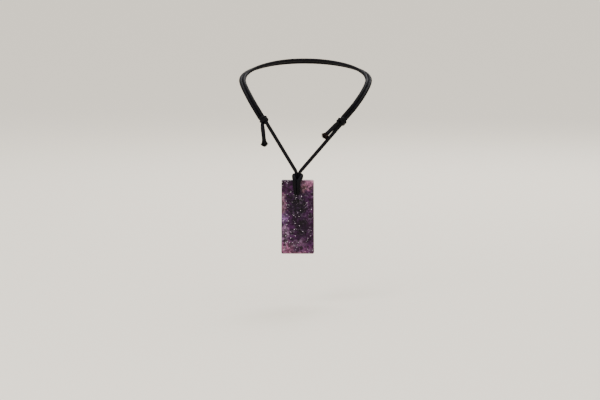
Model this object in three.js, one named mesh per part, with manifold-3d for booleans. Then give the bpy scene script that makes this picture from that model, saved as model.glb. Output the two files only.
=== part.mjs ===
// Pendant necklace: a drilled stone slab hitched to one long cord, whose two ends are tied round
// the opposite side of the cord with sliding knots, so that the loop can be made longer or shorter.
// Millimetres, +Z up, -Y to the front, +X to the wearer's left. The origin is the middle of the
// neck, level with the two places where the cord turns down over the shoulders.
import * as THREE from "three";
import { mergeVertices } from "three/addons/utils/BufferGeometryUtils.js";
import Module from "manifold-3d";

const wasm = await Module();
wasm.setup();

// ---------------------------------------------------------------- driving dimensions
const gap = 0.3; // between faces that meet
const cordDiameter = 2.8;
const tightDiameter = 2.3; // the same cord where the hitch and the hole squeeze it
const cordSides = 8;
const cordStep = 6; // length of one facet along a cord
const tightStep = 1.5; // the same where a cord bends hard

const stoneWidth = 28;
const stoneHeight = 63;
const stoneThickness = 7;
const stoneCorner = 1.6; // radius of the slab's four corners
const stoneEdge = 0.7; // rounding of the slab's polished edges
const holeBelowTop = 11.5; // from the slab's top edge down to the middle of the drilled hole
const holeChamfer = 0.3;
const legBend = 1.6; // bend of the cord over the hole's edge
const legSpread = 0.45; // how far each front leg has moved out at the slab's top edge
const bendSteps = 4;

const hitchHeight = 5.05; // from the slab's top edge up to the ends of the strands in the hitch
const barHeight = 4; // from the slab's top edge up to the middle of the hitch's bar
const barAway = 3.3; // from the slab's mid plane back to the bar

const knotLength = 5.2; // along the strand that a sliding knot grips
const knotWall = 0.95; // thickness of the wrap round that strand
const knotFromBend = { left: 12.5, right: 17 }; // along the straight front strand
const tailLength = { left: 14.5, right: 14 };
const tipLength = 5.2; // the end of a tail, where the braid has come undone and spread
const tipDiameter = 5.4;

// ---------------------------------------------------------------- sizes that follow from those
const cordRadius = cordDiameter / 2;
const pitch = cordDiameter + gap; // from strand to strand in a pair
const tightRadius = tightDiameter / 2;
const tightPitch = tightDiameter + gap;
const holeDiameter = tightPitch + tightDiameter + 2 * gap;
const tunnelRadius = cordRadius + gap;
const wrapRadius = tunnelRadius + knotWall;
const lobeRadius = cordRadius + gap;
const junctionRadius = cordRadius + gap;

// ---------------------------------------------------------------- the route of the cord
// Each point is the middle of the pair of strands, and out points from the inner strand to the
// outer one. The lists run from the shoulder (y = 0) to the front, and round the back of the neck.
const shoulderLeft = [
  { at: [-54.9, 0, 0], out: [-1, 0, 0] },
  { at: [-54.6, -5.4, -2.2], out: [-0.98, 0.02, -0.2] },
  { at: [-53.6, -10.8, -4.6], out: [-0.94, 0.06, -0.33] },
  { at: [-51.7, -17.3, -8.1], out: [-0.91, 0.05, -0.41] },
  { at: [-48.9, -24.3, -12.9], out: [-0.87, 0.03, -0.49] },
  { at: [-45.9, -30.0, -17.9], out: [-0.85, 0.01, -0.53] },
  { at: [-42.5, -34.0, -23.3], out: [-0.839, 0, -0.545] },
];
const shoulderRight = [
  { at: [54.9, 0, 0], out: [1, 0, 0] },
  { at: [54.6, -5.4, -1.9], out: [0.97, 0.02, -0.24] },
  { at: [53.6, -10.9, -4.2], out: [0.92, 0.07, -0.38] },
  { at: [51.5, -17.4, -7.9], out: [0.88, 0.07, -0.47] },
  { at: [48.3, -24.4, -12.7], out: [0.81, 0.05, -0.58] },
  { at: [44.9, -29.7, -17.2], out: [0.76, 0.02, -0.65] },
  { at: [41.3, -34.0, -21.7], out: [0.734, 0, -0.679] },
];
const neckBack = [
  { at: [54.9, 0, 0], out: [1, 0, 0] },
  { at: [53.1, 11.6, 3.6], out: [0.965, 0.19, -0.18] },
  { at: [47.6, 22.5, 7.0], out: [0.86, 0.38, -0.34] },
  { at: [38.8, 31.8, 9.9], out: [0.7, 0.54, -0.47] },
  { at: [27.4, 39.0, 12.1], out: [0.5, 0.66, -0.56] },
  { at: [14.2, 43.5, 13.5], out: [0.26, 0.73, -0.63] },
  { at: [0, 45.0, 14.0], out: [0, 0.76, -0.65] },
  { at: [-14.2, 43.4, 13.6], out: [-0.26, 0.73, -0.63] },
  { at: [-27.4, 38.9, 12.2], out: [-0.5, 0.66, -0.56] },
  { at: [-38.8, 31.7, 9.9], out: [-0.7, 0.54, -0.47] },
  { at: [-47.6, 22.4, 7.0], out: [-0.86, 0.38, -0.34] },
  { at: [-53.1, 11.5, 3.6], out: [-0.965, 0.19, -0.18] },
  { at: [-54.9, 0, 0], out: [-1, 0, 0] },
];
const apex = new THREE.Vector3(-6.8, -60, -75); // where the two front strands come together
const tailWay = {
  left: new THREE.Vector3(0.11, -0.33, -0.93).normalize(),
  right: new THREE.Vector3(-0.68, -0.33, -0.65).normalize(),
};

// ---------------------------------------------------------------- finishes
const braid = new THREE.MeshStandardMaterial({ color: 0x0d0c0e, roughness: 0.7, metalness: 0 });
const sealedEnd = new THREE.MeshStandardMaterial({ color: 0x1c100c, roughness: 0.5, metalness: 0 });
const amethyst = new THREE.MeshStandardMaterial({ color: 0x4a2f52, roughness: 0.2, metalness: 0 });

// ---------------------------------------------------------------- solids and booleans
function solidOf(geometry) {
  const bare = geometry.clone();
  bare.deleteAttribute("normal");
  bare.deleteAttribute("uv");
  const merged = mergeVertices(bare, 1e-4);
  const mesh = new wasm.Mesh({
    numProp: 3,
    vertProperties: merged.attributes.position.array,
    triVerts: new Uint32Array(merged.index.array),
  });
  return new wasm.Manifold(mesh);
}

function geometryOf(solid) {
  const mesh = solid.getMesh();
  const geometry = new THREE.BufferGeometry();
  geometry.setAttribute("position", new THREE.BufferAttribute(mesh.vertProperties, 3));
  geometry.setIndex(new THREE.BufferAttribute(mesh.triVerts, 1));
  geometry.computeVertexNormals();
  return geometry;
}

function node(name, geometry, material) {
  const mesh = new THREE.Mesh(geometry, material);
  mesh.name = name;
  return mesh;
}

// A solid of revolution about Z from a profile of [radius, height] pairs.
function turned(profile, segments) {
  const points = profile.map(([radius, height]) => new THREE.Vector2(radius, height));
  return new THREE.LatheGeometry(points, segments).rotateX(Math.PI / 2);
}

// A ball or a capsule along Z, as a profile of half circles about z = -half and z = +half.
function capsule(radius, half, segments) {
  const steps = 5;
  const profile = [];
  for (let i = 0; i <= steps; i++) {
    const angle = -Math.PI / 2 + (i / steps) * (Math.PI / 2);
    profile.push([i === 0 ? 0 : radius * Math.cos(angle), -half + radius * Math.sin(angle)]);
  }
  for (let i = half > 0 ? 0 : 1; i <= steps; i++) {
    const angle = (i / steps) * (Math.PI / 2);
    profile.push([i === steps ? 0 : radius * Math.cos(angle), half + radius * Math.sin(angle)]);
  }
  return turned(profile, segments);
}

// A plain round cord through the points.
function tube(points, step = cordStep, radius = cordRadius) {
  const curve = new THREE.CatmullRomCurve3(points, false, "centripetal");
  const section = new THREE.Shape();
  for (let i = 0; i < cordSides; i++) {
    const angle = (i / cordSides) * 2 * Math.PI;
    const x = radius * Math.cos(angle);
    const y = radius * Math.sin(angle);
    if (i === 0) section.moveTo(x, y);
    else section.lineTo(x, y);
  }
  section.closePath();
  const steps = Math.max(2, Math.ceil(curve.getLength() / step));
  return new THREE.ExtrudeGeometry(section, { steps, bevelEnabled: false, extrudePath: curve });
}

// ---------------------------------------------------------------- strands
// One strand of a pair: side is +1 for the outer strand and -1 for the inner one.
function strand(route, side) {
  return route.map(({ at, out }) => {
    const outward = new THREE.Vector3(...out).normalize();
    return new THREE.Vector3(...at).addScaledVector(outward, (side * pitch) / 2);
  });
}

// The points without their first stretch of the given length.
function startingAfter(points, length) {
  const way = points[1].clone().sub(points[0]).normalize();
  return [points[0].clone().addScaledVector(way, length), ...points.slice(1)];
}

// What is the same for the left and the right: the strand that runs straight to its own side of
// the apex, the strand whose end is tied to it, and the knot between them. The right-hand side's
// own strand is the outer one, and the left-hand side's is the inner one. The straight stops where
// its flat end just clears the junction at the apex.
function sideOf(name, shoulder, ownSide) {
  const own = strand(shoulder, ownSide);
  const other = strand(shoulder, -ownSide);
  const bend = own[own.length - 1];
  const beside = new THREE.Vector3((ownSide * pitch) / 2, 0, 0);
  const aim = apex.clone().add(beside);
  const way = aim.clone().sub(bend).normalize();
  const straight = bend.distanceTo(aim) - junctionRadius - gap - beside.dot(way);
  const across = other[other.length - 1].clone().sub(bend);
  across.addScaledVector(way, -across.dot(way)).normalize();
  const knot = bend.clone().addScaledVector(way, knotFromBend[name]);
  return { name, own, other, bend, way, straight, across, knot };
}

const left = sideOf("left", shoulderLeft, -1);
const right = sideOf("right", shoulderRight, 1);

function frontCord({ name, own, bend, way, straight }) {
  const shares = [0.06, 0.12, 0.3, 0.5, 0.7, 0.85, 1];
  const line = shares.map((share) => bend.clone().addScaledVector(way, straight * share));
  const points = startingAfter([...own, ...line], cordRadius + gap);
  return node(`${name}_front_cord`, tube(points), braid);
}

// The far strand's end, from the shoulder down to the knot that is tied in it.
function runningEnd({ name, other, own, way, across, knot }) {
  const last = knot.clone().addScaledVector(way, -knotLength / 2 - gap).addScaledVector(across, pitch);
  const before = last.clone().addScaledVector(way, -knotFromBend[name] / 3);
  const points = startingAfter([...other, before, last], cordRadius + gap);
  return node(`${name}_running_end`, tube(points), braid);
}

// A strand round the back of the neck, with round ends on the line where the front swings.
function neckCord(name, side) {
  const points = strand(neckBack, side);
  let solid = solidOf(tube(points));
  for (const end of [points[0], points[points.length - 1]]) {
    const ball = capsule(cordRadius, 0, 12).translate(end.x, end.y, end.z);
    solid = solid.add(solidOf(ball));
  }
  return node(name, geometryOf(solid), braid);
}

// ---------------------------------------------------------------- knots and tails
// A sliding knot in its own frame: Z along the gripped strand towards the apex, X across to the
// tied strand. The tunnel lets the gripped strand run through.
function slidingKnot({ name, way, across, knot }) {
  const half = knotLength / 2;
  const round = knotWall * 0.6;
  const wrap = turned(
    [
      [0, -half],
      [wrapRadius - round, -half],
      [wrapRadius, -half + round],
      [wrapRadius, half - round],
      [wrapRadius - round, half],
      [0, half],
    ],
    20,
  );
  const lobe = capsule(lobeRadius, Math.max(half - lobeRadius, 0.05), 16).translate(pitch, 0, 0);
  const tunnel = turned(
    [
      [0, -knotLength],
      [tunnelRadius, -knotLength],
      [tunnelRadius, knotLength],
      [0, knotLength],
    ],
    20,
  );
  const solid = solidOf(wrap).add(solidOf(lobe)).subtract(solidOf(tunnel));
  const mesh = node(`${name}_sliding_knot`, geometryOf(solid), braid);
  const third = way.clone().cross(across);
  mesh.setRotationFromMatrix(new THREE.Matrix4().makeBasis(across, third, way));
  mesh.position.copy(knot);
  return mesh;
}

// The tail swings about the middle of the round end of the knot's lobe.
function tail({ name, way, across, knot }) {
  const pivot = knot.clone();
  pivot.addScaledVector(way, Math.max(knotLength / 2 - lobeRadius, 0.05));
  pivot.addScaledVector(across, pitch);
  const direction = tailWay[name];
  const at = (length) => pivot.clone().addScaledVector(direction, lobeRadius + gap + length);
  const long = tailLength[name];
  const cord = node(`${name}_tail_cord`, tube([at(0), at(long / 2), at(long)]), braid);

  const tipRadius = tipDiameter / 2;
  const flare = turned(
    [
      [0, 0],
      [cordRadius, 0],
      [cordRadius + (tipRadius - cordRadius) * 0.45, tipLength * 0.4],
      [tipRadius, tipLength * 0.8],
      [tipRadius * 0.8, tipLength],
      [0, tipLength * 0.96],
    ],
    14,
  );
  const tip = node(`${name}_tail_tip`, flare, sealedEnd);
  tip.quaternion.setFromUnitVectors(new THREE.Vector3(0, 0, 1), direction);
  tip.position.copy(at(long + gap));
  return [cord, tip];
}

// ---------------------------------------------------------------- hitch and stone
const stoneTop = apex.z - junctionRadius - gap - hitchHeight;
const faceAway = stoneThickness / 2 + gap + tightRadius; // to the middle of a leg on either face
const lobeAside = 1.5 * tightPitch; // to the middle of the loop where it passes the two strands

// The quarter bend of a leg from the slab's face into the hole, as [y, z] pairs.
function bendIntoHole() {
  const bend = [];
  for (let i = 0; i <= bendSteps; i++) {
    const angle = (i / bendSteps) * (Math.PI / 2);
    const inward = legBend * (1 - Math.cos(angle));
    const down = legBend * (1 - Math.sin(angle));
    bend.push([faceAway - inward, down - holeBelowTop]);
  }
  return bend;
}

function junction() {
  const ball = capsule(junctionRadius, 0, 16).translate(apex.x, apex.y, apex.z);
  return node("strand_junction", ball, braid);
}

// The lark's head hitch in one length of cord. Each half starts inside the loop, below the
// junction, goes over the slab's back edge and down the back, through the hole to the front, up
// the front, and round the two strands to the loop's bar behind them. Heights are from the slab's
// top edge, and x and y from its middle.
function hitchCord() {
  const inHole = tightPitch / 2;
  const aside = inHole + legSpread;
  const half = [
    [inHole, 0, hitchHeight],
    [inHole, 0.1, hitchHeight - tightRadius],
    [inHole, 0.6, hitchHeight - 2 * tightRadius],
    [inHole, barAway / 2, 1.75 * tightRadius],
    [inHole, faceAway - 1.6, 1.35 * tightRadius],
    [inHole, faceAway - 0.3, 0.75 * tightRadius],
    [inHole, faceAway, -tightRadius],
    [inHole, faceAway, -holeBelowTop / 2],
  ];
  half.push(...bendIntoHole().map(([y, z]) => [inHole, y, z]));
  half.push(...bendIntoHole().reverse().map(([y, z]) => [inHole, -y, z]));
  half.push(
    [(inHole + aside) / 2, -faceAway, -holeBelowTop / 2],
    [aside, -faceAway, -tightRadius / 2],
    [(aside + lobeAside) / 2, 0.4 - faceAway, barHeight * 0.42],
    [lobeAside - 0.2, 1.6 - faceAway, barHeight * 0.72],
    [lobeAside, 3.2 - faceAway, barHeight * 0.92],
    [lobeAside, 0.2, barHeight],
    [lobeAside - 0.3, barAway * 0.55, barHeight],
    [lobeAside * 0.66, barAway * 0.9, barHeight],
    [lobeAside * 0.25, barAway, barHeight],
  );
  const other = half.map(([x, y, z]) => [-x, y, z]).reverse();
  const points = [...half, ...other].map(
    ([x, y, z]) => new THREE.Vector3(apex.x + x, apex.y + y, stoneTop + z),
  );
  return node("hitch_cord", tube(points, tightStep, tightRadius), braid);
}

// The slab stands in XZ, and its hole is drilled from front to back.
function stone() {
  const across = stoneWidth / 2 - stoneCorner;
  const upper = stoneHeight - stoneCorner;
  const lower = stoneCorner;
  const quarter = Math.PI / 2;
  const outline = new THREE.Shape();
  outline.absarc(across, lower, stoneCorner, -quarter, 0, false);
  outline.absarc(across, upper, stoneCorner, 0, quarter, false);
  outline.absarc(-across, upper, stoneCorner, quarter, 2 * quarter, false);
  outline.absarc(-across, lower, stoneCorner, 2 * quarter, 3 * quarter, false);
  outline.closePath();
  const slab = new THREE.ExtrudeGeometry(outline, {
    depth: stoneThickness - 2 * stoneEdge,
    curveSegments: 5,
    bevelSize: stoneEdge,
    bevelThickness: stoneEdge,
    bevelOffset: -stoneEdge,
    bevelSegments: 2,
  });
  slab.translate(0, 0, -stoneThickness / 2 + stoneEdge);

  const holeRadius = holeDiameter / 2;
  const face = stoneThickness / 2;
  const drill = turned(
    [
      [0, -face - 1],
      [holeRadius + holeChamfer + 1, -face - 1],
      [holeRadius, -face + holeChamfer],
      [holeRadius, face - holeChamfer],
      [holeRadius + holeChamfer + 1, face + 1],
      [0, face + 1],
    ],
    28,
  ).translate(0, stoneHeight - holeBelowTop, 0);
  const mesh = node("stone", geometryOf(solidOf(slab).subtract(solidOf(drill))), amethyst);
  mesh.rotation.x = Math.PI / 2;
  mesh.position.set(apex.x, apex.y, stoneTop - stoneHeight);
  return mesh;
}

// ---------------------------------------------------------------- the necklace
const necklace = new THREE.Group();
necklace.add(neckCord("neck_cord_outer", 1), neckCord("neck_cord_inner", -1));
for (const side of [left, right]) {
  necklace.add(frontCord(side), runningEnd(side), slidingKnot(side), ...tail(side));
}
necklace.add(junction(), hitchCord(), stone());

export default necklace;
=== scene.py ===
import bpy
import math
import random
import numpy as np
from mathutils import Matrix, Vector


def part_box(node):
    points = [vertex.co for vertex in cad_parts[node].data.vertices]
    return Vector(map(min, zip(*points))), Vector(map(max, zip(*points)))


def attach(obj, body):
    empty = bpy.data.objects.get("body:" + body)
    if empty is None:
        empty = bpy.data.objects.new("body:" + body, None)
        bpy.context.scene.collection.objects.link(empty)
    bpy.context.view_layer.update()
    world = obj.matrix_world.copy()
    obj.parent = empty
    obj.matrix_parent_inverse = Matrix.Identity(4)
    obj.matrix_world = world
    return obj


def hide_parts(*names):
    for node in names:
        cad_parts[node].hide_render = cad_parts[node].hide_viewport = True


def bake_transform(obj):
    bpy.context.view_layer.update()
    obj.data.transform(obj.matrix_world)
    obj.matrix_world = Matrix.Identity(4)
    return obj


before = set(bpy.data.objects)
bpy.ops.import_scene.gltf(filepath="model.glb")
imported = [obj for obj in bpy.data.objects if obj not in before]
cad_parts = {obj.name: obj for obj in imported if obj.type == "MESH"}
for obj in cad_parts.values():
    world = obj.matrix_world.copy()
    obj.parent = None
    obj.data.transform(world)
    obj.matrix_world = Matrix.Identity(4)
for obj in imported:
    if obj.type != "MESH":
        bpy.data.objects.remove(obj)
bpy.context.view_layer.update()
mm = 0.001
print("frame loaded:", len(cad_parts), "nodes")

# camera, as far off as a portrait lens stands, looking slightly down
camera = {
    "place": (-0.004834, -2.049044, 0.109835),
    "down": 6.0,
    "lens": 141.18,
    "sensor": 36,
}
bpy.ops.object.select_all(action="DESELECT")
bpy.ops.object.camera_add(
    location=camera["place"],
    rotation=(math.radians(90 - camera["down"]), 0, 0),
)
eye = bpy.context.object
eye.data.lens = camera["lens"]
eye.data.sensor_width = camera["sensor"]
eye.data.clip_start = 0.05
eye.data.clip_end = 50
bpy.context.scene.camera = eye

# the cord's route: the middle of the pair of strands, and the way from inner to outer
shoulderLeft = [
    ((-0.0549, 0, 0), (-1, 0, 0)),
    ((-0.0546, -0.0054, -0.0022), (-0.98, 0.02, -0.2)),
    ((-0.0536, -0.0108, -0.0046), (-0.94, 0.06, -0.33)),
    ((-0.0517, -0.0173, -0.0081), (-0.91, 0.05, -0.41)),
    ((-0.0489, -0.0243, -0.0129), (-0.87, 0.03, -0.49)),
    ((-0.0459, -0.0300, -0.0179), (-0.85, 0.01, -0.53)),
    ((-0.0425, -0.0340, -0.0233), (-0.839, 0, -0.545)),
]
shoulderRight = [
    ((0.0549, 0, 0), (1, 0, 0)),
    ((0.0546, -0.0054, -0.0019), (0.97, 0.02, -0.24)),
    ((0.0536, -0.0109, -0.0042), (0.92, 0.07, -0.38)),
    ((0.0515, -0.0174, -0.0079), (0.88, 0.07, -0.47)),
    ((0.0483, -0.0244, -0.0127), (0.81, 0.05, -0.58)),
    ((0.0449, -0.0297, -0.0172), (0.76, 0.02, -0.65)),
    ((0.0413, -0.0340, -0.0217), (0.734, 0, -0.679)),
]
neckBack = [
    ((0.0531, 0.0116, 0.0036), (0.965, 0.19, -0.18)),
    ((0.0476, 0.0225, 0.0070), (0.86, 0.38, -0.34)),
    ((0.0388, 0.0318, 0.0099), (0.7, 0.54, -0.47)),
    ((0.0274, 0.0390, 0.0121), (0.5, 0.66, -0.56)),
    ((0.0142, 0.0435, 0.0135), (0.26, 0.73, -0.63)),
    ((0, 0.0450, 0.0140), (0, 0.76, -0.65)),
    ((-0.0142, 0.0434, 0.0136), (-0.26, 0.73, -0.63)),
    ((-0.0274, 0.0389, 0.0122), (-0.5, 0.66, -0.56)),
    ((-0.0388, 0.0317, 0.0099), (-0.7, 0.54, -0.47)),
    ((-0.0476, 0.0224, 0.0070), (-0.86, 0.38, -0.34)),
    ((-0.0531, 0.0115, 0.0036), (-0.965, 0.19, -0.18)),
]
cord = {
    "diameter": 2.8 * mm,
    "pairPitch": 2.94 * mm,  # the two strands of a pair press on each other
    "fuzz": 0.11 * mm,  # how far the cotton stands proud of the braid
    "sides": 36,
    "step": 0.25 * mm,  # from ring to ring
    "cellsAround": 6,  # braid cells round the cord
    "cellLength": 1.8 * mm,
    "relief": 0.09 * mm,
    "tight": 0.9,  # thickness where it's drawn tight in a knot
    "undone": 1.35,  # thickness where the braid comes undone at the end
    "slack": 1.06,  # thickness in front, where nothing presses on it
}
beside = cord["pairPitch"] / mm  # from the gripped strand to the running one, at a knot
apex = Vector((-0.0068, -0.0600, -0.0750))  # where the two front strands come together
aimFromApex = {"left": Vector((-1.2, 0, -0.3)) * mm, "right": Vector((1.8, 0, -0.3)) * mm}
knotFromBend = {"left": 12.5 * mm, "right": 17.0 * mm}
tailWay = {
    "left": Vector((0.11, -0.33, -0.93)).normalized(),
    "right": Vector((-0.68, -0.33, -0.65)).normalized(),
}
tailEnd = {"left": 17.0 * mm, "right": 16.5 * mm}  # from inside the knot to the undone braid


def strand(route, side):
    half = side * cord["pairPitch"] / 2
    return [Vector(at) + Vector(out).normalized() * half for at, out in route]


def sideOf(name, shoulder, ownSide):
    own = strand(shoulder, ownSide)
    other = strand(shoulder, -ownSide)
    bend = own[-1]
    aim = apex + aimFromApex[name]
    way = (aim - bend).normalized()
    across = other[-1] - bend
    across = (across - way * across.dot(way)).normalized()
    return {
        "name": name,
        "own": own,
        "other": other,
        "bend": bend,
        "aim": aim,
        "way": way,
        "across": across,
        "back": way.cross(across),
        "knot": bend + way * knotFromBend[name],
        "straight": (aim - bend).length,
    }


left = sideOf("left", shoulderLeft, -1)
right = sideOf("right", shoulderRight, 1)
stoneTop = Vector((apex.x, apex.y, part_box("stone")[1][2]))

# the whole cord as one line of points; a name marks where a new piece starts
points = []
widths = []
starts = {}


# a thickness given with a point holds until the next one in the route
def addRoute(piece, route):
    starts.setdefault(piece, len(points))
    width = 1.0
    for point in route:
        if len(point) == 4:
            width = point[3]
        points.append(Vector(point[:3]))
        widths.append(width)


def knotPoint(side, x, y, z):
    return side["knot"] + (side["across"] * x + side["back"] * y + side["way"] * z) * mm


# where each knot's wraps lie round the strand, and how much closer the cord is where it comes in
knotAside = {
    "left": {"middle": 0.85, "across": 2.6, "enters": 0.65},
    "right": {"middle": 1.25, "across": 2.7, "enters": 1.1},
}


# from the shoulder's end of a knot to its tail's end
def knotRoute(side):
    wraps = {"back": 2.4, "turns": 1.94, "pitch": 2.05, "start": -12, "steps": 22}
    wraps.update(knotAside[side["name"]])
    route = [
        (*knotPoint(side, beside, 0.05, -4.4), 1.0),
        (*knotPoint(side, beside - 0.04, 0.02, -3.3), 1.0),
    ]
    for i in range(wraps["steps"] + 1):
        share = i / wraps["steps"]
        angle = math.radians(wraps["start"] - share * wraps["turns"] * 360)
        reach = wraps["across"] - wraps["enters"] * max(0, 1 - 6 * share)
        x = wraps["middle"] + reach * math.cos(angle)
        y = wraps["back"] * math.sin(angle)
        z = (share - 0.5) * wraps["turns"] * wraps["pitch"] - 0.2
        route.append((*knotPoint(side, x, y, z), cord["tight"]))
    return route


# where the running cord ends, just above a knot
def aboveKnot(side):
    return [knotPoint(side, beside, 0, -6)]


# how far a tail's root lies from where the knot lets it out
tailAside = {"left": Vector((0, 0, 0)), "right": Vector((0.3, -0.5, -0.25)) * mm}


def tailPivot(side):
    return knotPoint(side, 3.1, 0, 0.9)


def tailRoute(side):
    name = side["name"]
    root = tailPivot(side) + tailAside[name]
    shares = [(0.14, 1.05), (0.26, 1.2), (0.45, 1.24), (0.66, 1.2), (0.86, 1.18)]
    shares.append((1, cord["undone"]))
    return [(*(root + tailWay[name] * tailEnd[name] * s), wide) for s, wide in shares]


# the straight front strand, from the bend to just above the apex
def frontLine(side):
    gone = side["straight"] - 8 * mm
    shares = (0.06, 0.12, 0.3, 0.5, 0.7, 0.9)
    return [(*(side["bend"] + side["way"] * gone * s), cord["slack"]) for s in shares]


# one half of the hitch, from the slab's top edge: x aside, y back, z up, thickness
def hitchHalf():
    half = [  # over the top edge and down the slab's back to the hole
        (1.22, 0.4, 2.4, 0.95),
        (1.2, 1.7, 1.45, 0.92),
        (1.2, 3.4, 1.32, 0.88),
        (1.2, 4.4, 0.58, 0.9),
        (1.2, 4.7, -1.0, 0.9),
        (1.2, 4.7, -5.75, 0.9),
    ]
    bend = {"radius": 1.6, "steps": 4, "slack": 0.25, "below": 11.5}  # through the hole
    for i in range(bend["steps"] + 1):
        share = i / bend["steps"]
        inward = bend["radius"] * (1 - math.cos(share * math.pi / 2))
        down = bend["radius"] * (1 - math.sin(share * math.pi / 2)) - bend["slack"] * share**2
        height = down - bend["below"]
        half.append((1.2 - 0.15 * share, 4.7 - inward, height, 0.88 - 0.05 * share))
    half += [(x, -y, z, wide) for x, y, z, wide in reversed(half[6:])]
    half += [  # up the slab's front, out over its top edge, and round both strands from behind
        (1.36, -4.78, -7.2, 1.0),
        (1.5, -4.86, -4.0, 1.1),
        (1.6, -4.86, -1.0, 1.14),
        (2.3, -4.5, 0.7, 1.14),
        (3.05, -3.7, 2.0, 1.08),
        (3.3, -2.4, 3.0, 1.02),
        (3.4, -0.8, 3.7, 0.98),
        (3.2, 0.8, 4.1, 0.94),
        (2.5, 2.0, 4.3, 0.9),
        (1.3, 2.7, 4.35, 0.9),
    ]
    return half


# how far the hitch leans to the slab's left, over its height, in front and behind
leanFront = {"height": (-11.5, -4, -0.9, 1.0, 3.2), "aside": (-0.8, -1.0, -1.05, -0.3, -0.05)}
leanBack = {"height": (-11.5, 0), "aside": (-0.8, 0)}


def fromStone(x, y, z):
    return stoneTop + Vector((x, y, z)) * mm


def hitchPoints(sign, route):
    leant = []
    for x, y, z, wide in route:
        lean = leanFront if y < 0 else leanBack
        aside = np.interp(z, lean["height"], lean["aside"])
        leant.append((*fromStone(sign * x + aside, y, z), wide))
    return leant


# the last of the straight, where the strand gets thinner towards the hitch
def crossing(side):
    stretch = ((6.4, cord["slack"]), (3.6, 1.05), (1.2, 1.0))
    return [(*(side["aim"] - side["way"] * back * mm), wide) for back, wide in stretch]


# the two strands between the apex and the loop, from the slab's top edge as above
hitchStrand = {
    "left": [(1.2, 0.02, 6.0, 0.94), (1.22, 0.05, 5.1, 0.92)],
    "right": [(1.6, 0.02, 6.0, 0.94), (1.32, 0.05, 5.1, 0.92)],
}
intoLoop = [(1.22, 0.3, 3.9, 0.9)]
seam = 4  # where the running end starts, among the shoulder's points

leftOther = left["other"]
rightOther = right["other"]
addRoute("leftTail", list(reversed(tailRoute(left))))
addRoute("leftKnot", list(reversed(knotRoute(left))))
addRoute("leftRunningCord", aboveKnot(left) + list(reversed(leftOther[seam + 1:])))
addRoute("outerStrand", list(reversed(leftOther[:seam + 1])))
addRoute("outerStrand", list(reversed(strand(neckBack, 1))))
addRoute("outerStrand", right["own"] + frontLine(right))
addRoute("rightCrossing", crossing(right))
addRoute("rightHitchStrand", hitchPoints(1, hitchStrand["right"]))
addRoute("hitchLoop", hitchPoints(1, intoLoop + hitchHalf()))
addRoute("hitchLoop", list(reversed(hitchPoints(-1, intoLoop + hitchHalf()))))
addRoute("leftHitchStrand", list(reversed(hitchPoints(-1, hitchStrand["left"]))))
addRoute("leftCrossing", list(reversed(crossing(left))))
addRoute("innerStrand", list(reversed(frontLine(left))) + list(reversed(left["own"])))
addRoute("innerStrand", list(reversed(strand(neckBack, -1))))
addRoute("innerStrand", rightOther[:seam + 1])
addRoute("rightRunningCord", rightOther[seam + 1:] + aboveKnot(right))
addRoute("rightKnot", knotRoute(right))
addRoute("rightTail", tailRoute(right))


# a smooth curve through the points, as even rings, with the ring at each point
def evenRings(line, step):
    pts = np.array([list(p) for p in line])
    pts = np.vstack([2 * pts[0] - pts[1], pts, 2 * pts[-1] - pts[-2]])
    samples = 24
    curve = []
    for i in range(1, len(pts) - 2):
        p0, p1, p2, p3 = pts[i - 1:i + 3]
        gaps = ((p0, p1), (p1, p2), (p2, p3))
        d0, d1, d2 = (max(np.linalg.norm(b - a) ** 0.5, 1e-6) for a, b in gaps)
        t1 = ((p1 - p0) / d0 - (p2 - p0) / (d0 + d1) + (p2 - p1) / d1) * d1
        t2 = ((p2 - p1) / d1 - (p3 - p1) / (d1 + d2) + (p3 - p2) / d2) * d1
        square = 3 * (p2 - p1) - 2 * t1 - t2
        cube = 2 * (p1 - p2) + t1 + t2
        for k in range(samples):
            t = k / samples
            curve.append(p1 + t1 * t + square * t**2 + cube * t**3)
    curve.append(pts[-2])
    curve = np.array(curve)
    along = np.concatenate([[0], np.cumsum(np.linalg.norm(np.diff(curve, axis=0), axis=1))])
    count = int(round(along[-1] / step))
    even = np.linspace(0, along[-1], count + 1)
    rings = np.stack([np.interp(even, along, curve[:, k]) for k in range(3)], axis=1)
    return rings, even, along[::samples]


rings, ringAlong, pointAlong = evenRings(points, cord["step"])
ringWidth = np.interp(ringAlong, pointAlong, widths)
tangents = np.gradient(rings, axis=0)
tangents /= np.linalg.norm(tangents, axis=1)[:, None]


# sections that don't twist as the cord turns
def ringFrames(tangents):
    normal = np.cross(tangents[0], [0.0, 0.0, 1.0])
    if np.linalg.norm(normal) < 0.1:
        normal = np.cross(tangents[0], [0.0, 1.0, 0.0])
    normals = []
    for tangent in tangents:
        normal = normal - tangent * normal.dot(tangent)
        normal /= np.linalg.norm(normal)
        normals.append(normal)
    normals = np.array(normals)
    return normals, np.cross(tangents, normals)


normals, binormals = ringFrames(tangents)
print("cord of", round(ringAlong[-1] / mm), "mm,", len(rings), "rings")


def toLinear(hexColour):
    parts = [int(hexColour[i:i + 2], 16) / 255 for i in (1, 3, 5)]
    return tuple(c / 12.92 if c <= 0.04045 else ((c + 0.055) / 1.055) ** 2.4 for c in parts) + (1,)


# a new material, its nodes and its shader
def newMaterial(name):
    material = bpy.data.materials.new(name)
    material.use_nodes = True
    tree = material.node_tree
    return material, tree, tree.nodes["Principled BSDF"]


def addNode(tree, kind, inputs=None, **settings):
    node = tree.nodes.new(kind)
    for key, value in settings.items():
        setattr(node, key, value)
    for key, value in (inputs or {}).items():
        if isinstance(value, bpy.types.NodeSocket):
            tree.links.new(value, node.inputs[key])
        else:
            node.inputs[key].default_value = value
    return node


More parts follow.
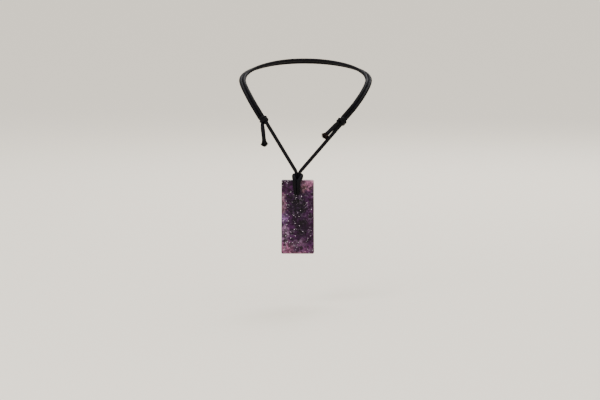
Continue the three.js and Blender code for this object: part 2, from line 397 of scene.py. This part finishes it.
# braid cells: how high the yarn stands at each place, 0 in the gaps to 1
def braidHeight(u, v):
    a = u + v
    b = u - v
    over = (np.floor(a) + np.floor(b)) % 2
    crossA = np.sin(np.pi * (a % 1))
    crossB = np.sin(np.pi * (b % 1))
    return np.where(over > 0.5, crossA * crossB**0.4, crossB * crossA**0.4)


def smoothByAngle(piece, degrees):
    bpy.ops.object.select_all(action="DESELECT")
    piece.select_set(True)
    bpy.context.view_layer.objects.active = piece
    bpy.ops.object.shade_smooth_by_angle(angle=math.radians(degrees))


# a stretch of the cord as a closed tube
def cordPiece(name, first, last):
    begin = int(round(pointAlong[first] / cord["step"]))
    end = min(int(round(pointAlong[last] / cord["step"])), len(rings) - 1)
    sides = cord["sides"]
    span = np.arange(begin, end + 1)
    v = np.arange(sides + 1) / sides * cord["cellsAround"]
    u = ringAlong[span] / cord["cellLength"]
    height = braidHeight(u[:, None], v[None, :-1])
    radius = cord["diameter"] / 2 * ringWidth[span][:, None]
    radius = radius + cord["fuzz"] + cord["relief"] * (height - 0.7)
    angle = v[:-1] / cord["cellsAround"] * 2 * np.pi
    circle = np.cos(angle)[None, :, None] * normals[span][:, None, :]
    circle = circle + np.sin(angle)[None, :, None] * binormals[span][:, None, :]
    verts = (rings[span][:, None, :] + circle * radius[:, :, None]).reshape(-1, 3)
    count = len(span)
    verts = np.vstack([verts, rings[begin], rings[end]])
    faces = []
    uvs = []
    for i in range(count - 1):
        for j in range(sides):
            k = (j + 1) % sides
            faces.append((i * sides + j, i * sides + k, (i + 1) * sides + k, (i + 1) * sides + j))
            uvs += [(u[i], v[j]), (u[i], v[j + 1]), (u[i + 1], v[j + 1]), (u[i + 1], v[j])]
    for j in range(sides):
        k = (j + 1) % sides
        faces.append((count * sides, k, j))
        uvs += [(u[0], v[j] + 0.5), (u[0], v[j + 1]), (u[0], v[j])]
        top = (count - 1) * sides
        faces.append((count * sides + 1, top + j, top + k))
        uvs += [(u[-1], v[j] + 0.5), (u[-1], v[j]), (u[-1], v[j + 1])]
    mesh = bpy.data.meshes.new(name)
    mesh.from_pydata(verts.tolist(), [], faces)
    layer = mesh.uv_layers.new(name="braid")
    layer.data.foreach_set("uv", np.array(uvs, dtype=np.float32).ravel())
    mesh.update()
    piece = bpy.data.objects.new(name, mesh)
    bpy.context.scene.collection.objects.link(piece)
    smoothByAngle(piece, 60)
    piece["along"] = [float(ringAlong[begin]), float(ringAlong[end])]
    return piece


cordPieces = {}
ends = list(starts.values())[1:] + [len(points) - 1]
for (name, first), last in zip(starts.items(), ends):
    cordPieces[name] = cordPiece(name, first, last)
print("cord cut into", len(cordPieces), "pieces")


# waxed braided cotton: fine yarns in diamonds, almost black, with a dull blue on the crowns that is
# partly wax rubbed smooth and partly a painted highlight, painted shade in the gaps between yarns,
# and lint caught between them
def braidedCotton():
    material, tree, shader = newMaterial("waxedBraidedCotton")
    uv = addNode(tree, "ShaderNodeUVMap", uv_map="braid")
    parts = addNode(tree, "ShaderNodeSeparateXYZ", {0: uv.outputs["UV"]})
    phases = []
    arches = []
    floors = []
    for operation in ("ADD", "SUBTRACT"):  # the yarns that wind right and left
        phase = addNode(
            tree, "ShaderNodeMath", {0: parts.outputs[0], 1: parts.outputs[1]}, operation=operation
        )
        turn = addNode(
            tree, "ShaderNodeMath", {0: phase.outputs[0], 1: math.pi}, operation="MULTIPLY"
        )
        wave = addNode(tree, "ShaderNodeMath", {0: turn.outputs[0]}, operation="SINE")
        phases.append(phase)
        arches.append(addNode(tree, "ShaderNodeMath", {0: wave.outputs[0]}, operation="ABSOLUTE"))
        floors.append(addNode(tree, "ShaderNodeMath", {0: phase.outputs[0]}, operation="FLOOR"))
    both = addNode(
        tree, "ShaderNodeMath", {0: floors[0].outputs[0], 1: floors[1].outputs[0]}, operation="ADD"
    )
    odd = addNode(tree, "ShaderNodeMath", {0: both.outputs[0], 1: 2.0}, operation="FLOORED_MODULO")
    pillows = []
    for one, two in ((arches[1], arches[0]), (arches[0], arches[1])):
        length = addNode(tree, "ShaderNodeMath", {0: two.outputs[0], 1: 0.4}, operation="POWER")
        pillows.append(
            addNode(
                tree,
                "ShaderNodeMath",
                {0: one.outputs[0], 1: length.outputs[0]},
                operation="MULTIPLY",
            )
        )
    pillow = addNode(
        tree,
        "ShaderNodeMix",
        {0: odd.outputs[0], 2: pillows[0].outputs[0], 3: pillows[1].outputs[0]},
    )
    filament = addNode(
        tree, "ShaderNodeMix", {0: odd.outputs[0], 2: phases[1].outputs[0], 3: phases[0].outputs[0]}
    )
    ply = addNode(
        tree, "ShaderNodeMath", {0: filament.outputs[0], 1: 8 * math.pi}, operation="MULTIPLY"
    )
    plies = addNode(tree, "ShaderNodeMath", {0: ply.outputs[0]}, operation="SINE")
    place = addNode(tree, "ShaderNodeTexCoord")
    noises = []
    for size, detail in ((0.4, 3), (9, 2)):  # lint, and stretches that have been handled, in mm
        noises.append(
            addNode(
                tree,
                "ShaderNodeTexNoise",
                {"Vector": place.outputs["Object"], "Scale": 1000 / size, "Detail": detail},
            )
        )
    lint, worn = noises
    # braid height times handling wear: painted shade in the gaps between yarns, painted highlight
    # on the crowns
    crownHighlightAndWear = addNode(
        tree, "ShaderNodeMath", {0: pillow.outputs[0], 1: worn.outputs["Fac"]}, operation="MULTIPLY"
    )
    fleck = addNode(
        tree, "ShaderNodeMapRange", {0: lint.outputs["Fac"], 1: 0.62, 2: 0.75, 3: 0, 4: 0.16}
    )
    toned = addNode(
        tree, "ShaderNodeMath", {0: crownHighlightAndWear.outputs[0], 1: fleck.outputs[0]}, operation="ADD"
    )
    # from the painted shade of the gaps to the painted blue highlight of the crowns
    ramp = addNode(tree, "ShaderNodeValToRGB", {0: toned.outputs[0]})
    ramp.color_ramp.elements[0].position = 0.05
    ramp.color_ramp.elements[0].color = toLinear("#010102")
    ramp.color_ramp.elements[1].position = 0.66
    ramp.color_ramp.elements[1].color = toLinear("#120f1b")
    ramp.color_ramp.elements.new(0.3).color = toLinear("#060509")
    tree.links.new(ramp.outputs[0], shader.inputs["Base Color"])
    ridges = addNode(
        tree,
        "ShaderNodeMath",
        {0: plies.outputs[0], 1: 0.12, 2: pillow.outputs[0]},
        operation="MULTIPLY_ADD",
    )
    height = addNode(
        tree,
        "ShaderNodeMath",
        {0: lint.outputs["Fac"], 1: 0.3, 2: ridges.outputs[0]},
        operation="MULTIPLY_ADD",
    )
    bump = addNode(
        tree,
        "ShaderNodeBump",
        {"Strength": 0.7, "Distance": 0.08 * mm, "Height": height.outputs[0]},
    )
    tree.links.new(bump.outputs[0], shader.inputs["Normal"])
    gloss = addNode(tree, "ShaderNodeMapRange", {0: pillow.outputs[0], 3: 0.8, 4: 0.5})
    tree.links.new(gloss.outputs[0], shader.inputs["Roughness"])
    shader.inputs["Specular IOR Level"].default_value = 0.1
    shader.inputs["Sheen Weight"].default_value = 0.012
    shader.inputs["Sheen Roughness"].default_value = 0.5
    shader.inputs["Sheen Tint"].default_value = toLinear("#8a80c0")
    return material


cottonMaterial = braidedCotton()
for piece in cordPieces.values():
    piece.data.materials.append(cottonMaterial)

# the ends of the cord: the braid undone and spread, its yarns singed so that they don't run
fray = {
    "yarns": 64,
    "yarn": 0.72 * mm,  # thickness of one braided-in yarn
    "fibres": 120,
    "fibre": 0.13 * mm,
    "length": 5.1 * mm,
    "spread": 2.7 * mm,  # how far the outermost yarns lean out
    "root": 1.2 * mm,  # how far the yarns start inside the cord
    "turn": 2.39996,  # from yarn to yarn round the cord, so that they fill it evenly
    "steps": 7,
    "sides": 7,
}


# a tapering yarn with a round end, as the points of its rings and its faces
def yarnTube(line, thickness, sides, firstVert):
    verts = []
    faces = []
    count = len(line)
    for i, at in enumerate(line):
        ahead = line[min(i + 1, count - 1)] - line[max(i - 1, 0)]
        ahead.normalize()
        aside = ahead.cross(Vector((0.31, 0.92, 0.24))).normalized()
        above = ahead.cross(aside)
        share = i / (count - 1)
        radius = thickness / 2 * (1 - 0.3 * share) * (0.55 if i == count - 1 else 1)
        for j in range(sides):
            angle = 2 * math.pi * j / sides
            verts.append(at + (aside * math.cos(angle) + above * math.sin(angle)) * radius)
    for i in range(count - 1):
        for j in range(sides):
            k = (j + 1) % sides
            ring = firstVert + i * sides
            faces.append((ring + j, ring + k, ring + sides + k, ring + sides + j))
    faces.append([firstVert + j for j in reversed(range(sides))])
    faces.append([firstVert + (count - 1) * sides + j for j in range(sides)])
    return verts, faces


def frayedTip(side, seed):
    rng = random.Random(seed)
    way = tailWay[side["name"]]
    start = tailPivot(side) + tailAside[side["name"]]
    root = start + way * (tailEnd[side["name"]] - fray["root"])
    aside = way.cross(Vector((0, 1, 0))).normalized()
    above = way.cross(aside)
    inside = cord["diameter"] / 2 * 1.02
    verts = []
    faces = []
    kinds = (
        (fray["yarns"], fray["yarn"], fray["sides"], 0.2),
        (fray["fibres"], fray["fibre"], 4, 0.6),
    )
    for number, thickness, sides, wild in kinds:
        for i in range(number):
            out = math.sqrt((i + 0.5) / number)
            angle = i * fray["turn"] + rng.uniform(-0.2, 0.2)
            outward = aside * math.cos(angle) + above * math.sin(angle)
            curl = way.cross(outward) * rng.uniform(-1, 1) * wild * mm
            long = (fray["length"] + fray["root"]) * rng.uniform(0.8, 0.97) * (1.03 - 0.33 * out**2)
            lean = fray["spread"] * out * rng.uniform(0.6, 1)
            line = []
            for k in range(fray["steps"]):
                t = k / (fray["steps"] - 1)
                at = root + way * long * t + outward * (inside * out * 0.82 + lean * t**1.2)
                line.append(at + curl * t * t)
            tube, walls = yarnTube(line, thickness * rng.uniform(0.85, 1.1), sides, len(verts))
            verts += tube
            faces += walls
    mesh = bpy.data.meshes.new(side["name"] + "FrayedTip")
    mesh.from_pydata([list(v) for v in verts], [], faces)
    mesh.update()
    tip = bpy.data.objects.new(side["name"] + "FrayedTip", mesh)
    bpy.context.scene.collection.objects.link(tip)
    smoothByAngle(tip, 50)
    return tip


# singed cotton yarn: dull, with charred tips and the undyed brown of the core showing between
def singedYarn(name, charred, core, coreShare):
    material, tree, shader = newMaterial(name)
    place = addNode(tree, "ShaderNodeTexCoord")
    clumps = addNode(
        tree,
        "ShaderNodeTexNoise",
        {"Vector": place.outputs["Object"], "Scale": 1000 / 1.3, "Detail": 3},
    )
    twist = addNode(
        tree,
        "ShaderNodeTexNoise",
        {"Vector": place.outputs["Object"], "Scale": 1000 / 0.22, "Detail": 2},
    )
    mixed = addNode(
        tree,
        "ShaderNodeMath",
        {0: twist.outputs["Fac"], 1: 0.35, 2: clumps.outputs["Fac"]},
        operation="MULTIPLY_ADD",
    )
    ramp = addNode(tree, "ShaderNodeValToRGB", {0: mixed.outputs[0]})
    ramp.color_ramp.elements[0].position = 0.78 - coreShare
    ramp.color_ramp.elements[0].color = toLinear(charred)
    ramp.color_ramp.elements[1].position = 0.95 - coreShare
    ramp.color_ramp.elements[1].color = toLinear(core)
    tree.links.new(ramp.outputs[0], shader.inputs["Base Color"])
    bump = addNode(
        tree,
        "ShaderNodeBump",
        {"Strength": 0.8, "Distance": 0.06 * mm, "Height": twist.outputs["Fac"]},
    )
    tree.links.new(bump.outputs[0], shader.inputs["Normal"])
    matt = addNode(tree, "ShaderNodeMapRange", {0: clumps.outputs["Fac"], 3: 0.95, 4: 0.7})
    tree.links.new(matt.outputs[0], shader.inputs["Roughness"])
    shader.inputs["Specular IOR Level"].default_value = 0.15
    return material


tips = {"left": frayedTip(left, 5), "right": frayedTip(right, 11)}
tips["left"].data.materials.append(singedYarn("singedYarnLeft", "#040405", "#16110f", 0.0))
tips["right"].data.materials.append(singedYarn("singedYarnRight", "#090505", "#32160f", 0.1))
for name, tip in tips.items():
    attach(tip, name + "_tail")
    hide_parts(name + "_tail_tip")
print("frayed tips made")

# the slab: sawn from massive amethyst, drilled, and tumbled until its edges are round
slab = {
    "corner": 1.5 * mm,
    "edge": 0.7 * mm,
    "topNarrower": 0.985,
    "hole": 5.1 * mm,
    "holeAside": -0.6 * mm,  # it was drilled a little left of the middle
    "holeBelowTop": 11.5 * mm,
    "holeEdge": 0.3 * mm,
    "grain": 0.36 * mm,  # what's left of its facets once it's polished
    "waviness": 0.22 * mm,
}
slabLow, slabHigh = (Vector(corner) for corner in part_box("stone"))
slabMiddle = (slabLow + slabHigh) / 2


def selectEdges(piece, wanted):
    bpy.ops.object.mode_set(mode="OBJECT")
    for part in (piece.data.vertices, piece.data.edges, piece.data.polygons):
        part.foreach_set("select", [False] * len(part))
    verts = piece.data.vertices
    for edge in piece.data.edges:
        edge.select = wanted(verts[edge.vertices[0]].co, verts[edge.vertices[1]].co)
    bpy.ops.object.mode_set(mode="EDIT")
    bpy.ops.mesh.select_mode(type="EDGE")


def roundEdges(piece, wanted, size, segments):
    selectEdges(piece, wanted)
    bpy.ops.mesh.bevel(offset=size, segments=segments)
    bpy.ops.object.mode_set(mode="OBJECT")


def addModifier(piece, kind, **settings):
    modifier = piece.modifiers.new(kind.lower(), kind)
    for key, value in settings.items():
        setattr(modifier, key, value)
    bpy.ops.object.modifier_apply(modifier=modifier.name)


def drilledSlab():
    size = slabHigh - slabLow
    bpy.ops.object.select_all(action="DESELECT")
    aside = slabMiddle.x + slab["holeAside"]
    hole = Vector((aside, slabMiddle.y, slabHigh.z - slab["holeBelowTop"]))
    bpy.ops.mesh.primitive_cylinder_add(
        vertices=64,
        radius=slab["hole"] / 2,
        depth=size.y * 2,
        location=hole,
        rotation=(math.pi / 2, 0, 0),
    )
    drill = bpy.context.object
    bpy.ops.object.select_all(action="DESELECT")
    bpy.ops.mesh.primitive_cube_add(size=1, location=slabMiddle, scale=size)
    stone = bpy.context.object
    stone.name = "amethystSlab"
    bpy.ops.object.transform_apply(location=True, rotation=True, scale=True)
    selectEdges(stone, lambda a, b: min(a.z, b.z) > slabMiddle.z)
    bpy.ops.transform.resize(value=(slab["topNarrower"], 1, 1), center_override=slabMiddle)
    roundEdges(stone, lambda a, b: abs(a.y - b.y) > size.y / 2, slab["corner"], 8)
    addModifier(stone, "BOOLEAN", operation="DIFFERENCE", object=drill, solver="EXACT")
    bpy.data.objects.remove(drill)

    def onFace(a):
        return abs(abs(a.y - slabMiddle.y) - size.y / 2) < 0.01 * mm

    def atHole(a):
        return (Vector((a.x, hole.y, a.z)) - hole).length < slab["hole"] / 2 + 0.05 * mm

    roundEdges(
        stone, lambda a, b: onFace(a) and onFace(b) and atHole(a) and atHole(b), slab["holeEdge"], 2
    )
    roundEdges(
        stone,
        lambda a, b: onFace(a) and onFace(b) and not atHole(a) and not atHole(b)
        and (a - hole).length > 4 * mm and (b - hole).length > 4 * mm,
        slab["edge"],
        4,
    )
    addModifier(stone, "REMESH", mode="VOXEL", voxel_size=slab["grain"])
    addModifier(stone, "SMOOTH", factor=0.5, iterations=4)
    waves = bpy.data.textures.new("tumbledWaves", "CLOUDS")
    waves.noise_scale = 9 * mm
    waves.noise_depth = 1
    addModifier(
        stone,
        "DISPLACE",
        texture=waves,
        texture_coords="LOCAL",
        strength=slab["waviness"],
        mid_level=0.62,
    )
    bpy.ops.object.select_all(action="DESELECT")
    stone.select_set(True)
    bpy.ops.object.shade_smooth()
    print("slab made,", len(stone.data.polygons), "faces")
    return stone


# zones of the crystal, each over the ones before it: where and how far they reach, aside and up,
# in mm from the slab's middle
zones = [
    {"at": (11, -3), "reach": (5, 25), "colour": "#2a0b2c", "share": 0.8},
    {"at": (-11, 23), "reach": (5, 7), "colour": "#280b28", "share": 0.8},
    {"at": (0, 10), "reach": (9, 15), "colour": "#0e0414", "share": 0.92},
    {"at": (4, -10), "reach": (7, 10), "colour": "#0d0311", "share": 0.95},
    {"at": (-13.5, 11), "reach": (3.4, 10), "colour": "#634554", "share": 0.8},
    {"at": (-12, -1), "reach": (3.5, 5), "colour": "#5f416a", "share": 0.8},
    {"at": (-12, -14), "reach": (4.5, 8), "colour": "#6c506c", "share": 0.75},
    {"at": (0, -23), "reach": (8, 4), "colour": "#493046", "share": 0.7},
    {"at": (-10, -27), "reach": (7, 6), "colour": "#673e56", "share": 0.8},
    {"at": (9, -29), "reach": (9, 4), "colour": "#462342", "share": 0.8},
    {"at": (9, 28), "reach": (6.5, 4.5), "colour": "#744962", "share": 0.85},
    {"at": (5.5, 25), "reach": (3, 3.5), "colour": "#52393f", "share": 0.8},
    {"at": (0, -32), "reach": (19, 1.8), "colour": "#98647e", "share": 0.9},
    {"at": (9, 32), "reach": (9, 1.6), "colour": "#9f7086", "share": 0.8},
]
crystal = {
    "violet": "#280d2b",
    "mosaic": 2.7,  # crystals, mm
    "grain": 1.1,
    "facet": 0.5,  # the small faces that get a painted glint
    "fracture": 4.4,
    "veil": "#76667c",
    # colour of the painted glint highlights
    "paintedGlint": "#e9dfec",
}


# polished amethyst: interlocked crystals from near black violet to milky lilac, with hairline
# fractures that catch the light, painted glints of near white highlight, and convex edges paler
# than the faces
def polishedAmethyst():
    material, tree, shader = newMaterial("polishedAmethyst")
    place = addNode(tree, "ShaderNodeTexCoord")
    inMm = addNode(
        tree,
        "ShaderNodeMapping",
        {
            "Vector": place.outputs["Object"],
            "Location": tuple(-c / mm for c in slabMiddle),
            "Scale": (1 / mm,) * 3,
        },
    )
    drift = addNode(
        tree, "ShaderNodeTexNoise", {"Vector": inMm.outputs[0], "Scale": 0.3, "Detail": 4}
    )
    aside = addNode(
        tree,
        "ShaderNodeVectorMath",
        {0: drift.outputs["Color"], 1: (0.5,) * 3},
        operation="SUBTRACT",
    )
    warped = {}
    for name, strength in (("zones", 10), ("crystals", 1.5)):
        warped[name] = addNode(
            tree,
            "ShaderNodeVectorMath",
            {0: aside.outputs[0], 1: (strength,) * 3, 2: inMm.outputs[0]},
            operation="MULTIPLY_ADD",
        )
    colour = toLinear(crystal["violet"])
    for zone in zones:
        (x, z), (wide, tall) = zone["at"], zone["reach"]
        inZone = addNode(
            tree,
            "ShaderNodeMapping",
            {
                "Vector": warped["zones"].outputs[0],
                "Location": (-x / wide, 0, -z / tall),
                "Scale": (1 / wide, 0, 1 / tall),
            },
        )
        away = addNode(tree, "ShaderNodeVectorMath", {0: inZone.outputs[0]}, operation="LENGTH")
        share = addNode(
            tree,
            "ShaderNodeMapRange",
            {0: away.outputs["Value"], 1: 1.25, 2: 0.5, 3: 0, 4: zone["share"]},
        )
        mixed = addNode(
            tree,
            "ShaderNodeMix",
            {0: share.outputs[0], 6: colour, 7: toLinear(zone["colour"])},
            data_type="RGBA",
        )
        colour = mixed.outputs[2]
    # each crystal's own depth of colour, then each grain's
    for size, low, high in ((crystal["mosaic"], 0.3, 1.9), (crystal["grain"], 0.5, 1.6)):
        cells = addNode(
            tree,
            "ShaderNodeTexVoronoi",
            {"Vector": warped["crystals"].outputs[0], "Scale": 1 / size},
        )
        split = addNode(tree, "ShaderNodeSeparateColor", {0: cells.outputs["Color"]})
        depth = addNode(tree, "ShaderNodeMapRange", {0: split.outputs[0], 3: low, 4: high})
        scaled = addNode(
            tree, "ShaderNodeVectorMath", {0: colour, "Scale": depth.outputs[0]}, operation="SCALE"
        )
        colour = scaled.outputs[0]
    smoke = addNode(
        tree,
        "ShaderNodeTexNoise",
        {"Vector": warped["crystals"].outputs[0], "Scale": 0.42, "Detail": 4, "Roughness": 0.55},
    )
    veil = addNode(
        tree, "ShaderNodeMapRange", {0: smoke.outputs["Fac"], 1: 0.54, 2: 0.76, 3: 0, 4: 0.4}
    )
    edges = addNode(
        tree,
        "ShaderNodeTexVoronoi",
        {"Vector": warped["crystals"].outputs[0], "Scale": 1 / crystal["fracture"]},
        feature="DISTANCE_TO_EDGE",
    )
    hairline = addNode(
        tree, "ShaderNodeMapRange", {0: edges.outputs["Distance"], 1: 0.0, 2: 0.035, 3: 1, 4: 0}
    )
    broken = addNode(
        tree, "ShaderNodeMapRange", {0: drift.outputs["Fac"], 1: 0.5, 2: 0.65, 3: 0, 4: 0.35}
    )
    fracture = addNode(
        tree, "ShaderNodeMath", {0: hairline.outputs[0], 1: broken.outputs[0]}, operation="MULTIPLY"
    )
    # painted glints: rare small facets painted near white, as highlights
    facets = addNode(
        tree,
        "ShaderNodeTexVoronoi",
        {"Vector": warped["crystals"].outputs[0], "Scale": 1 / crystal["facet"]},
    )
    turned = addNode(tree, "ShaderNodeSeparateColor", {0: facets.outputs["Color"]})
    paintedGlint = addNode(
        tree, "ShaderNodeMapRange", {0: turned.outputs[1], 1: 0.986, 2: 1.0, 3: 0, 4: 0.9}
    )
    # convex edges paler than the faces, by pointiness
    worn = addNode(tree, "ShaderNodeNewGeometry")
    paleEdges = addNode(
        tree, "ShaderNodeMapRange", {0: worn.outputs["Pointiness"], 1: 0.51, 2: 0.6, 3: 0, 4: 0.45}
    )
    # milky patches, fractures and pale convex edges mixed in, and last the painted glint highlight
    for share, over in ((veil, "veil"), (fracture, "veil"), (paleEdges, "veil"), (paintedGlint, "paintedGlint")):
        mixed = addNode(
            tree,
            "ShaderNodeMix",
            {0: share.outputs[0], 6: colour, 7: toLinear(crystal[over])},
            data_type="RGBA",
        )
        colour = mixed.outputs[2]
    tree.links.new(colour, shader.inputs["Base Color"])
    dents = addNode(
        tree,
        "ShaderNodeMath",
        {0: fracture.outputs[0], 1: -0.6, 2: smoke.outputs["Fac"]},
        operation="MULTIPLY_ADD",
    )
    bump = addNode(
        tree,
        "ShaderNodeBump",
        {"Strength": 0.35, "Distance": 0.12 * mm, "Height": dents.outputs[0]},
    )
    tree.links.new(bump.outputs[0], shader.inputs["Normal"])
    polish = addNode(
        tree, "ShaderNodeMapRange", {0: smoke.outputs["Fac"], 1: 0.3, 2: 0.8, 3: 0.14, 4: 0.4}
    )
    tree.links.new(polish.outputs[0], shader.inputs["Roughness"])
    shader.inputs["Specular IOR Level"].default_value = 0.12
    return material


stone = drilledSlab()
stone.data.materials.clear()
stone.data.materials.append(polishedAmethyst())
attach(stone, "pendant")
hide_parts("stone")

# who moves with what
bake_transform(cordPieces["outerStrand"])
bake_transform(cordPieces["innerStrand"])
# the stretches of cord that give way, above and below each knot and where the hitch hangs
for side, name in ((left, "left"), (right, "right")):
    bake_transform(cordPieces[name + "RunningCord"])
    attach(cordPieces[name + "Knot"], name + "_knot")
    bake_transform(cordPieces[name + "Tail"])
    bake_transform(cordPieces[name + "Crossing"])
    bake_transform(cordPieces[name + "HitchStrand"])
    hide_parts(name + "_running_end")
    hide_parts(name + "_sliding_knot")
    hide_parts(name + "_tail_cord")
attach(cordPieces["hitchLoop"], "pendant")
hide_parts("neck_cord_outer", "right_front_cord")
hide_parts("neck_cord_inner", "left_front_cord")
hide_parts("strand_junction")
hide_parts("hitch_cord")


print("pieces ride on their bodies")

# stage and light
stage = {
    "floorBelow": 0.19,
    "floorSize": 30,
    "floor": "#f4ecdd",
    "world": "#f1ede6",
    "worldLight": 0.75,
    "lookedAt": Vector((0, -0.03, -0.06)),
}
bpy.ops.object.select_all(action="DESELECT")
bpy.ops.mesh.primitive_plane_add(
    size=stage["floorSize"], location=(0, 0, -stage["floorBelow"])
)
floor = bpy.context.object
floor.name = "paleFloor"
floorMaterial, boardTree, board = newMaterial("paleBoard")  # matt painted board, even and warm
board.inputs["Base Color"].default_value = toLinear(stage["floor"])
board.inputs["Roughness"].default_value = 0.9
floor.data.materials.append(floorMaterial)

world = bpy.data.worlds.new("studio")
bpy.context.scene.world = world
world.use_nodes = True
sky = world.node_tree.nodes["Background"]
sky.inputs["Color"].default_value = toLinear(stage["world"])
sky.inputs["Strength"].default_value = stage["worldLight"]

# soft boxes by the necklace, and an even light from above and behind that keeps the floor pale
lights = [
    {"name": "key", "place": (-0.9, -1.3, 1.1), "size": 0.9, "power": 20},
    {"name": "fill", "place": (1.3, -1.2, 0.5), "size": 1.4, "power": 6},
    {"name": "rear", "place": (0.4, 1.2, 1.0), "size": 1.0, "power": 14},
]
overhead = {"place": (0.2, 1.0, 2.6), "spread": 50, "strength": 2.3}


def aimAt(lamp, place):
    toward = stage["lookedAt"] - Vector(place)
    lamp.rotation_euler = toward.to_track_quat("-Z", "Y").to_euler()


for light in lights:
    bpy.ops.object.light_add(type="AREA", location=light["place"])
    lamp = bpy.context.object
    lamp.name = light["name"]
    lamp.data.size = light["size"]
    lamp.data.energy = light["power"]
    aimAt(lamp, light["place"])
bpy.ops.object.light_add(type="SUN", location=overhead["place"])
bpy.context.object.name = "overhead"
bpy.context.object.data.energy = overhead["strength"]
bpy.context.object.data.angle = math.radians(overhead["spread"])
aimAt(bpy.context.object, overhead["place"])
print("stage and light ready")
